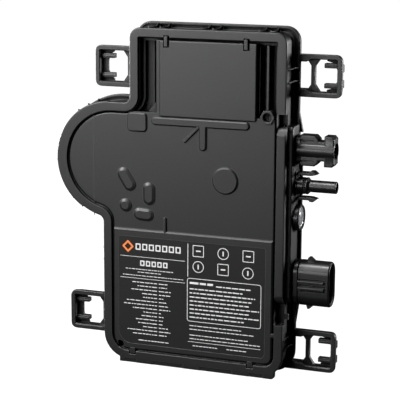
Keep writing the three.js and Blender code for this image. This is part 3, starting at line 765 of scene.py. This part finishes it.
def mounting_ear(root, end, z):
    """Window frame with a crossbar, a web along its outer end and two tabs beside it."""
    side = 1 if end > root else -1
    length = abs(end - root)

    def shape(points, radius, steps):
        return drawn([(root + side * p[0], z + p[1], *p[2:]) for p in points], radius, steps)

    def bar(a, b, y0, y1, z0, z1, edge):
        a, b, z0, z1 = root + side * a, root + side * b, z + z0, z + z1
        return block(min(a, b), max(a, b), y0, y1, min(z0, z1), max(z0, z1), edge)

    half, inner = EAR_HALF, EAR_HALF - EAR_BAR
    front = shape([(-EAR_ROOT, -half, 0), (length, -half), (length, half), (-EAR_ROOT, half, 0)], 4.2, 5)
    far, tall = length - EAR_INSET, half - EAR_INSET
    back = shape([(-EAR_ROOT, -tall, 0), (far, -tall), (far, tall), (-EAR_ROOT, tall, 0)], 3.6, 5)
    narrow = inner - 1.6
    hollow = shape([(-EAR_ROOT - 2, -narrow, 0), (3.5, -narrow, 0.6), (7.5, -inner, 0.6),
                    (length - EAR_BAR, -inner), (length - EAR_BAR, inner), (7.5, inner, 0.6),
                    (3.5, narrow, 0.6), (-EAR_ROOT - 2, narrow, 0)], 0.8, 3)
    frame_solid = combined(plate(front, EAR_FRONT, EAR_STEP, 0.5, 0.25),
                           [plate(back, EAR_STEP - 0.4, EAR_BACK, 0, 0.5)],
                           [sink(hollow, EAR_FRONT, EAR_BACK + 1, 0.6)])
    near, cross = 5.6, 8.2
    edge = length - EAR_BAR
    reach = 3.5 if side < 0 else 1.2
    web = shape([(edge + 0.4, -inner - 0.4, 0), (edge + 0.4, inner + 0.4, 0), (edge - 7.5, inner + 0.4, 0),
                 (edge - 7.5, inner - 1.2, 0.3), (edge - reach - 2, inner - 2.4, 1.5),
                 (edge - reach, 3.2, 2.5), (edge - reach, -3.2, 2.5),
                 (edge - reach - 2, -inner + 2.4, 1.5), (edge - 7.5, -inner + 1.2, 0.3),
                 (edge - 7.5, -inner - 0.4, 0)], 0, 4)
    adds = [bar(near, cross, EAR_WEB, EAR_BACK, -inner - 0.4, inner + 0.4, 0.35),
            plate(web, EAR_WEB + 1, EAR_BACK, 0.3, 0.3)]
    for up in (1, -1):
        brace = shape([(near - 3, up * (inner + 0.4)), (cross + 3.2, up * (inner + 0.4)),
                       (cross - 0.3, up * (inner - 4.6)), (near + 0.3, up * (inner - 4.6))], 0.3, 2)
        adds.append(plate(brace, EAR_WEB, EAR_BACK, 0.3, 0.3))
        adds.append(bar(edge - 8.6, edge + 0.4, 6, EAR_BACK, up * 4.5, up * 7.4, 0.4))
        adds.append(bar(edge - 8.2, edge - 0.6, 5.5, 7, up * 5.6, up * 6.3, 0.25))
        adds.append(bar(far - 0.6, length, EAR_STEP, 9, up * 2.3, up * 6.9, 0.35))
    under = [plate(lambda grow: body_outline(FLANGE_OUT - 0.5), -12, FLANGE_BACK, 0),
             plate(lambda grow: body_outline(SHELL_OUT - 0.5), 0, BACK + 3, 0)]
    return combined(frame_solid, adds, under)


# -------------------- front lid

def lid_panel():
    """Thin tray-shaped panel with a rounded front edge and a skirt behind it."""
    section = [(-9.4, PANEL_BACK), (SKIRT_IN, PANEL_BACK, 0.5), (SKIRT_IN, LID_BACK, 0.2),
               (LID_OUT, LID_BACK, 0.2), (LID_OUT, PANEL, 0.75), (-9.4, PANEL)]
    return sweep(body_outline, softened(section, False, 4))


def above(z0, y0, y1):
    """Cutter for all of the upper block above a height."""
    return plate(rectangle(-60, 90, z0, 240, 0.3), y0, y1, 0)


def pad(outline, slope, top=RAISED):
    """Raised pad with a sloping edge all round."""
    stations = [(-slope - 0.1, top), (-slope, top, 0.15), (-0.15, top + 0.62, 0.15), (0.1, PANEL - 0.02),
                (0.1, PANEL + 0.4)]
    return sweep(outline, softened(stations, False, 2))


def pads():
    """Ribs, pads and disc raised on the upper panel."""
    return [
        pad(slot(-11.5, 153.4, 46, 153.4, 5.2), 0.9),
        pad(slot(16.2, 150.8, 7.6, 142.1, 2.2), 0.6),
        pad(slot(19.2, 151.5, 19.2, 139.3, 5.2), 1.0),
        pad(slot(-32.4, 119.5, -28.4, 113.2, 8.4), 1.9),
        pad(slot(-15.6, 111.4, -15.6, 105.2, 8.0), 1.8),
        pad(slot(-21.9, 95.2, -16.4, 94.9, 7.8), 1.7),
        pad(slot(-5, 93.4, -5, 84.9, 2.2), 0.6),
        pad(disc(-31.2, 100.1, 4.2, 10), 1.8),
        pad(disc(33.5, 119.7, 8.3), 1.0),
        pad(rectangle(-29.8, -16.6, 146, 158, 3), 0.9),
    ]


def label_outline(grow):
    return [
        *corner(LABEL_X0 - grow, LABEL_Z0 - grow, -1, -1, 8 + grow, 180),
        *corner(LABEL_X1 + grow, LABEL_Z0 - grow, 1, -1, 3 + grow, 270),
        *corner(LABEL_X1 + grow, LABEL_Z1 + grow, 1, 1, 1 + max(grow, -0.5), 0),
        *corner(LABEL_X0 - grow, LABEL_Z1 + grow, -1, 1, 1 + max(grow, -0.5), 90),
    ]


BOSS_X, BOSS_Z = 59.5, 159.3


def front_lid():
    inner = rectangle(BLOCK_LEFT - SKIRT_IN, RIGHT + SKIRT_IN, COVER_Z0 + 0.8, TOP + SKIRT_IN, 0.5)
    panel = combined(lid_panel(), cut=[
        above(COVER_Z0 + 0.8, FRONT - 4, TRAY_TOP),
        plate(inner, FRONT - 4, TRAY_FLOOR, 0, 0),
    ])
    pad_edge = drawn([(-39.1, 8.7, 9.3), (64.3, 8.7, 5.3), (64.3, STEP_Z, 0.4), (-39.1, STEP_Z, 0.4)],
                     0, 6)
    cover = rectangle(COVER_X0, COVER_X1, COVER_Z0, COVER_Z1, 1.2)
    cover_face = rectangle(COVER_X0 + 2.4, COVER_X1, COVER_Z0 - 1.2, COVER_Z1, 0.9)
    floor = rectangle(BLOCK_LEFT - SKIRT_IN - 0.4, RIGHT + SKIRT_IN + 0.4, COVER_Z0 - 0.5,
                      TOP + SKIRT_IN + 0.4, 0.5)
    riser = rectangle(BLOCK_LEFT - SKIRT_IN - 9, RIGHT + SKIRT_IN + 0.5, COVER_Z0 - 0.7,
                      COVER_Z0 + 0.8, 0.1)
    hollow = rectangle(COVER_X0 + 1.8, COVER_X1 - 1.8, COVER_Z0 + 2.2, COVER_Z1 - 1.8, 1)
    hexagon = drawn(arc(BOSS_X, BOSS_Z, 4.6, 0, 300, 60), 0.9, 3)
    adds = [
        pad(pad_edge, 1.0, PAD),
        plate(floor, TRAY_FLOOR, LID_BACK, 0, 0.2),
        plate(riser, PANEL, LID_BACK, 0.4, 0),
        plate(cover, PANEL + 0.1, LID_BACK, 0.5, 0),
        plate(cover_face, RAISED, PANEL_BACK, 0.8, 0),
        block(-52.45, -52.15, PANEL - 0.15, PANEL + 0.4, 92, 159, 0.08),
        plate(hexagon, RAISED, PANEL_BACK + 1, 0.3),
        plate(rectangle(53, 53.9, 161, 200.5, 0.2), -11.2, LID_BACK, 0.3),
        plate(rectangle(57.6, 59.4, 163, 201, 0.3), -11.4, LID_BACK, 0.5),
        plate(rectangle(-15.2, -14.3, 161, 201, 0.2), -7.6, LID_BACK, 0.3),
        plate(drawn([(-17.6, 158), (-12.6, 158), (-12.6, 164)], 0.3), -10, LID_BACK, 0.3),
    ]
    adds += pads()
    moats = []
    for x in TAB_X:
        adds.append(block(x - 1.1, x + 1.1, RAISED - 0.35, PANEL_BACK, 198.4, 204.3, 0.3))
        for x0, x1, z0, z1 in ((-1.8, -1.1, 197.8, 206), (1.1, 2.4, 197.8, 206), (-1.8, 2.4, 197.6, 198.4)):
            moats.append(block(x + x0, x + x1, FRONT - 2, RAISED + 1.6, z0, z1, 0))
    for x in LOW_TAB_X:
        adds.append(block(x - 1.6, x + 1.6, PAD, PANEL_BACK - 0.4, 5.9, 9.6, 0.25))
    adds.append(block(63.6, 66.4, PAD, PANEL_BACK - 0.4, 26.4, 28.6, 0.25))
    cuts = [
        plate(hollow, RAISED + 2, 2, 0, 0),
        sink(label_outline, PAD, PAD + 0.7, 0.12),
        sink(disc(BOSS_X, BOSS_Z, 2.6), RAISED, LID_BACK + 3, 0.45),
        sink(disc(-34.8, 11.2, 2.3), PAD, -9, 0.35),
    ]
    return combined(panel, adds, cuts + moats)


# -------------------- label

def label_film():
    return plate(label_outline, LABEL_FRONT, -14.6, 0.08)


PRINT_FRONT, PRINT_BACK = LABEL_FRONT - 0.04, LABEL_FRONT + 0.02


def mark(x0, x1, z0, z1, radius=0.0):
    """Printed bar; x and z are measured from the label's left and bottom edges."""
    outline = rectangle(LABEL_X0 + x0, LABEL_X0 + x1, LABEL_Z0 + z0, LABEL_Z0 + z1, radius)
    return plate(outline, PRINT_FRONT, PRINT_BACK, 0)


def printed_line(outline, width):
    """Printed line that follows an outline, just inside it."""
    stations = [(0, PRINT_BACK), (0, PRINT_FRONT), (-width, PRINT_FRONT), (-width, PRINT_BACK)]
    return sweep(outline, stations, closed=True)


def line_frame(x0, x1, z0, z1, radius, width):
    outline = rectangle(LABEL_X0 + x0, LABEL_X0 + x1, LABEL_Z0 + z0, LABEL_Z0 + z1, radius)
    return printed_line(outline, width)


def dashes(chance, x0, x1, z, height, right_aligned=False):
    """A row of word-like dashes between two places, without letters."""
    row, x = [], x0
    while x < x1 - 0.5:
        width = min(chance.uniform(1.0, 3.6) * (0.5 + height), x1 - x)
        row.append((x, x + width))
        x += width + 0.3 + 0.4 * height
    if right_aligned:
        row = [(x0 + x1 - b, x0 + x1 - a) for a, b in row]
    return [mark(a, b, z - height / 2, z + height / 2, 0.12) for a, b in row]


def label_print():
    """Pale print: rules, a boxed note, plain symbols, rows of squares and rows of dashes."""
    chance = random.Random(7)
    column_end, value_start = 25.4, 26.6
    solids = [
        mark(0.9, 43.8, 55.65, 55.9), mark(0.9, 43.8, 41.95, 42.2),
        mark(45.45, 45.85, 46.4, 67.0), mark(45.9, 92.8, 5.2, 5.45),
        line_frame(45.2, 92.8, 18.2, 45.6, 1.8, 0.35),
    ]
    for count, x0, pitch, z0, z1 in ((7, 11.2, 4.4, 60.2, 64.2), (5, 14.2, 3.8, 50.2, 53.6)):
        for i in range(count):
            x = x0 + i * pitch
            solids.append(line_frame(x, x + 0.76 * pitch, z0, z1, 0.3, 0.75))
    for x0, x1, z in ((4.5, 36, 47.9), (12.5, 28, 46.1), (2.6, 42.6, 43.9)):
        solids += dashes(chance, x0, x1, z, 0.42)
    for i in range(15):
        z = 39.7 - 2.35 * i
        solids += dashes(chance, column_end - chance.uniform(9, 23), column_end, z, 0.5, True)
        solids += dashes(chance, value_start, value_start + chance.uniform(2, 9), z, 0.5)
    solids += dashes(chance, 13, 33, 2.6, 0.5)
    symbols = [(52.4, 62.8), (68.4, 62.6), (84.4, 62.4), (52.4, 53.0), (68.4, 52.7), (84.2, 52.0)]
    size, width = 3.6, 0.42
    for i, (x, z) in enumerate(symbols):
        if i % 2 == 0:
            solids.append(line_frame(x - size, x + size, z - size, z + size, 0.6, width))
            solids.append(mark(x - 1.5, x + 1.5, z - 0.4, z + 0.4, 0.2))
        else:
            solids.append(printed_line(disc(LABEL_X0 + x, LABEL_Z0 + z, size), width))
            solids.append(mark(x - 0.4, x + 0.4, z - 1.5, z + 1.5, 0.2))
    solids += dashes(chance, 46.9, 62, 42.6, 1.3)
    solids += dashes(chance, 64, 86, 41.7, 0.7)
    for i, end in enumerate((81, 89, 87, 85, 91.6, 85.6, 91.4, 82)):
        solids += dashes(chance, 46.9, end, 38.9 - 2.55 * i, 0.7)
    for x0, x1, z in ((46.9, 81, 15.6), (46.9, 89, 13.3), (46.9, 85, 9.6), (46.9, 92.4, 7.3),
                      (49, 65, 2.9), (71, 84, 2.9)):
        solids += dashes(chance, x0, x1, z, 0.5)
    return gathered(solids)


def label_accent():
    """Orange mark: a plain square standing on its corner."""
    x, z, r = LABEL_X0 + 6.1, LABEL_Z0 + 62.0, 3.9
    return printed_line(drawn([(x, z - r), (x + r, z), (x, z + r), (x - r, z)], 0.6, 3), 1.1)


# -------------------- connectors

OUT = SIDE + 0.3                # where the pieces on the bulkhead start
STEM_IN = 8.4                   # how far their stems go in through the wall


def dc_socket():
    """DC socket: a winged plate with grooves, a barrel through it and a deeper head."""
    half, waist, depth, z = 9.2, 5.9, 4.4, DC_SOCKET_Z
    end = far_end("dc_socket_housing") - OUT

    def mirrored(points):
        lower = [(x, -v, r) for x, v, r in points][::-1]
        return drawn([(OUT + x, z + v, r) for x, v, r in points + lower], 0, 3)

    wings = plate(mirrored([(2.2, half, 0.4), (11.2, half, 0.8), (13.5, half - 2.3, 0.5),
                            (13.5, waist, 0.3), (18, waist, 0)]), -depth, depth, 0.9, 0.9, steps=2)
    head = plate(mirrored([(17, half, 0.5), (end - 1.5, half, 0.5), (end, half - 1.7, 0.5)]),
                 -depth - 0.4, depth + 0.4, 1.0, 1.0, steps=2)
    barrel = lathe(softened([(OUT, 3), (OUT, 5.75, 0.4), (OUT + end, 5.75, 0.5), (OUT + end, 3)],
                            False), z=z)
    collar = plate(rectangle(-5, 5, z - 8.4, z + 8.4, 3.2), OUT, OUT + 2.8, 0, 0.4, axis="x")
    ring = lathe(softened([(OUT, 3), (OUT, 5.6, 0.2), (OUT + 1, 5.6, 0.2), (OUT + 1, 3)], False), z=z)
    stem = lathe([(OUT - STEM_IN, 4.2), (OUT + 1, 4.2)], z=z)
    cuts = [
        lathe(softened([(OUT + end + 2, 5.0), (OUT + end, 5.0, 0), (OUT + end - 0.9, 4.35, 0.2),
                        (OUT + end - 21, 4.35)], False), z=z),
        lathe([(OUT - 10, 1.6), (OUT + 40, 1.6)], z=z, sides=32),
    ]
    for face in (-1, 1):
        y0, y1 = sorted((face * (depth - 0.9), face * (depth + 2)))
        cuts.append(block(OUT + 2.9, OUT + 10.8, y0, y1, z + 5.4, z + 6.7, 0.2))
        cuts.append(block(OUT + 2.9, OUT + 11.4, y0, y1, z - 6.7, z - 5.4, 0.2))
    return combined(wings, [head, barrel, collar, ring, stem], cuts)


def dc_plug():
    """DC plug: a stepped collar with a seal groove and a slender tube with a rounded mouth."""
    z, collar, tube, flange, bore = DC_PLUG_Z, 5.1, 3.65, 5.6, 2.7
    end = far_end("dc_plug_housing") - OUT
    stations = [(-STEM_IN, 2, 0), (-STEM_IN, 4.2, 0.2), (0, 4.2, 0), (0, flange, 0.3), (1, flange, 0.3),
                (1, collar, 0.2), (4.6, collar, 0.2), (4.6, tube + 0.2, 0.1), (6, tube + 0.2, 0.1),
                (6, collar, 0.2), (6.8, collar, 0.3), (8.2, tube, 0.3), (end, tube, 0.5), (end, 2, 0)]
    body = lathe(softened([(OUT + x, r, soft) for x, r, soft in stations], False), z=z)
    base = plate(rectangle(-5, LIP_FRONT - 0.3, z - 9.4, z + 9.4, 2.4), OUT, OUT + 0.5, 0, 0.2, axis="x")
    mouth = lathe(softened([(OUT + end + 1, 3.15), (OUT + end, 3.15, 0), (OUT + end - 0.6, bore, 0.1),
                            (OUT + 2, bore)], False), z=z, sides=40)
    hole = lathe([(OUT - 10, 1.6), (OUT + 40, 1.6)], z=z, sides=32)
    return combined(body, [base], [mouth, hole])


def latch(node, side):
    """Latch finger with a barbed tip; side is +1 for the upper one."""
    low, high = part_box(node)
    x0, x1 = low.x / MM - SHIFT, high.x / MM - SHIFT
    z = (low.z if side > 0 else high.z) / MM
    thick, barb, width = 1.9, 0.9, 3.0
    points = [(x0, 0, 0.2), (x1 - 4.6, 0, 1.5), (x1 - 3.2, 0.1, 0.6), (x1, thick / 2, 0.15),
              (x1 - 2.4, thick + barb, 0.4), (x1 - 4.4, thick + barb, 0.3), (x1 - 5.2, thick, 0.4),
              (x0, thick, 0.2)]
    outline = drawn([(x, z + side * v, r) for x, v, r in points], 0, 3)
    return plate(outline, -width, width, 0.45, 0.45)


AC_HALF, AC_DEPTH, AC_WALL, AC_BASE = 14, 7.3, 1.9, 3.2


def ac_base():
    """Base of the AC connector: a round-ended plate and the stem that holds the insert."""
    stem = plate(stadium(11, 5.6), OUT - STEM_IN, OUT + 1, 0.2, 0, axis="x")
    way = plate(stadium(9.9, 4.5), OUT - STEM_IN - 2, OUT + AC_BASE + 2, 0, axis="x")
    return combined(plate(stadium(AC_HALF, AC_DEPTH), OUT, OUT + AC_BASE, 0.5, 0.5, axis="x"), [stem],
                    [way])


def ac_sleeve():
    """Sleeve of the AC connector, with latch ramps, slotted key ribs and a chamfered mouth."""
    z, start, end = AC_Z, OUT + AC_BASE + 0.3, far_end("ac_connector_sleeve")
    face = -AC_DEPTH
    adds = []
    for up in (1, -1):
        ramp = [(7.2, 12.4), (8.2, 15.9, 0.5), (9.4, 15.9, 0.4), (13.4, 12.4)]
        adds.append(plate(drawn([(OUT + x, z + up * v, *r) for x, v, *r in ramp], 0, 3), -2.6, 2.6,
                          0.4, 0.4))
    for v in (1.9, -2.1):
        adds.append(block(start, OUT + 19.4, face - 1, face + 1, z + v - 0.7, z + v + 0.7, 0.3))
    cuts = [sweep(stadium(AC_HALF - AC_WALL, AC_DEPTH - AC_WALL),
                  [(0, OUT), (0, end - 1), (1.0, end), (1.0, end + 2)], "x")]
    for v, x0, x1 in ((3.3, 4, 20.6), (-0.2, 4, 10.4), (-0.4, 12.4, 20.6), (-3.6, 5, 20.6)):
        cuts.append(block(OUT + x0, OUT + x1, face - 3, face + 1.1, z + v - 0.6, z + v + 0.6, 0.1))
    for v in (1.9, -2.1):
        cuts.append(block(OUT + 19.4, OUT + 21, face - 3, face + 0.8, z + v - 1.1, z + v + 1.1, 0.2))
    shell = sweep(stadium(AC_HALF, AC_DEPTH), softened(
        [(-1, start), (0, start, 0.3), (0, end - 0.9, 0.3), (-0.7, end, 0.3), (-1, end)], False), "x")
    return combined(shell, adds, cuts)


def status_bezel():
    z, radius, face = STATUS_Z, 8, OUT + 3.2
    profile = softened([(OUT, 2.3), (OUT, radius, 0.2), (face - 0.6, radius, 0.3),
                        (face, radius - 0.6, 0.2), (face, 7.1, 0.2), (OUT + 1.4, 6.9, 0),
                        (OUT + 1.4, 2.3, 0)])
    return lathe(profile, z=z, sides=72, closed=True)


def status_lens():
    """Domed clear lens with a moulded ring round its middle."""
    dome = softened([(1.7, 2), (1.7, 6.7, 0.2), (2.3, 6.7, 0.2), (2.6, 5.6, 0.3), (2.2, 5.0, 0.2),
                     (2.8, 4.2, 0.6), (3.1, 2.4, 1), (3.2, 0.5)], False, 4)
    return lathe([(OUT + x, radius) for x, radius in dome], z=STATUS_Z, sides=48)


def contact_pin(node, tip):
    """Round contact with a tapered tip, along X."""
    low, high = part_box(node)
    x0, x1 = low.x / MM - SHIFT, high.x / MM - SHIFT
    radius = (high.z - low.z) / 2 / MM
    profile = [(x0, radius * 0.5), (x0, radius, 0.2), (x1 - tip, radius, 0.5),
               (x1, radius * 0.45, 0.3), (x1, 0.2)]
    return lathe(softened(profile, False, 4), middle(node, 2), middle(node, 1), 32)


def vent_disc():
    """Vent plug in the boss: a disc with a slot across its face."""
    low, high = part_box("vent_plug")
    outline = disc(BOSS_X, BOSS_Z, 2.3)
    base = plate(outline, low.y / MM, high.y / MM, 0.3, 0.1)
    groove = block(BOSS_X - 0.2, BOSS_X + 0.2, low.y / MM - 1, low.y / MM + 0.5, BOSS_Z - 1.5,
                   BOSS_Z + 1.5, 0)
    return combined(base, cut=[groove])


# -------------------- everything

FINISHES = {name: make(name, *values) for name, make, *values in (
    ("housing_plastic", moulded_plastic, (0.006, 0.0061, 0.0063), 0.42),
    ("connector_plastic", moulded_plastic, (0.004, 0.0041, 0.0042), 0.34, 1.0, 8.0, 0.6),
    ("label_film", moulded_plastic, (0.005, 0.0051, 0.0053), 0.55, 0.5, 1, 0.25),
    ("label_ink", printed_ink, (0.62, 0.62, 0.62)),
    ("accent_ink", printed_ink, (0.78, 0.19, 0.04)),
    ("seal_rubber", rubber, (0.010, 0.010, 0.010)),
    ("tinned_contact", brushed_metal, (0.62, 0.63, 0.64), 0.28),
    ("clear_lens", lens_material),
    ("potting", speckled, (0.012, 0.011, 0.010), (0.03, 0.028, 0.026), 260, 0.55, 2e-5),
    ("spreader_aluminium", brushed_metal, (0.75, 0.76, 0.77), 0.35),
    ("board_laminate", speckled, (0.010, 0.075, 0.03), (0.016, 0.10, 0.045), 600, 0.35, 8e-6),
    ("ferrite", speckled, (0.035, 0.035, 0.037), (0.06, 0.06, 0.063), 900, 0.6, 2e-5),
    ("winding_tape", speckled, (0.55, 0.36, 0.03), (0.62, 0.43, 0.05), 180, 0.3, 1e-5),
    ("copper", brushed_metal, (0.72, 0.33, 0.18), 0.3),
    ("capacitor_can", brushed_metal, (0.55, 0.56, 0.58), 0.32),
    ("chip_plastic", speckled, (0.01, 0.01, 0.01), (0.02, 0.02, 0.02), 1400, 0.5, 1e-5),
)}


def build():
    for subpart in frame["record"]["subparts"]:
        node = frame["nodes"][subpart["node"]]
        node.data.materials.clear()
        node.data.materials.append(FINISHES[subpart["material_slot"]])

    add_piece("housing_shell", housing(), "housing_plastic", ["housing"])
    for place, root in (("upper_left", BLOCK_LEFT - FLANGE_OUT), ("upper_right", RIGHT + FLANGE_OUT),
                        ("lower_left", LOW_LEFT - FLANGE_OUT), ("lower_right", RIGHT + FLANGE_OUT)):
        node = "mounting_ear_" + place
        low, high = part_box(node)
        end = (high.x if root > 0 else low.x) / MM - SHIFT
        add_piece("ear_" + place, mounting_ear(root, end, middle(node, 2)), "housing_plastic", [node])
    add_piece("front_panel", front_lid(), "housing_plastic", ["front_lid"])
    add_piece("label_sheet", label_film(), "label_film", ["label_plate"])
    add_piece("label_print", label_print(), "label_film", finish="label_ink")
    add_piece("label_accent", label_accent(), "label_film", finish="accent_ink")
    add_piece("vent_disc", vent_disc(), "seal_rubber", ["vent_plug"])
    for name, solid, node, body in (
            ("dc_socket", dc_socket(), "dc_socket_housing", BODY),
            ("dc_plug", dc_plug(), "dc_plug_housing", BODY),
            ("latch_finger_upper", latch("dc_latch_upper", 1), "dc_latch_upper", "latch_upper"),
            ("latch_finger_lower", latch("dc_latch_lower", -1), "dc_latch_lower", "latch_lower"),
            ("ac_foot", ac_base(), "ac_connector_base", BODY),
            ("ac_sleeve", ac_sleeve(), "ac_connector_sleeve", BODY),
            ("status_ring", status_bezel(), "status_bezel", BODY)):
        add_piece(name, solid, "connector_plastic", [node], body)
    add_piece("status_dome", status_lens(), "clear_lens", ["status_lens"])
    for name, node, tip in (*((f"ac_contact_{i}", f"ac_pin_{i}", 1.6) for i in range(1, 5)),
                            ("dc_socket_contact", "dc_socket_pin", 2.2)):
        add_piece(name, contact_pin(node, tip), "tinned_contact", [node])


make_camera()
make_studio()
make_floor()
build()
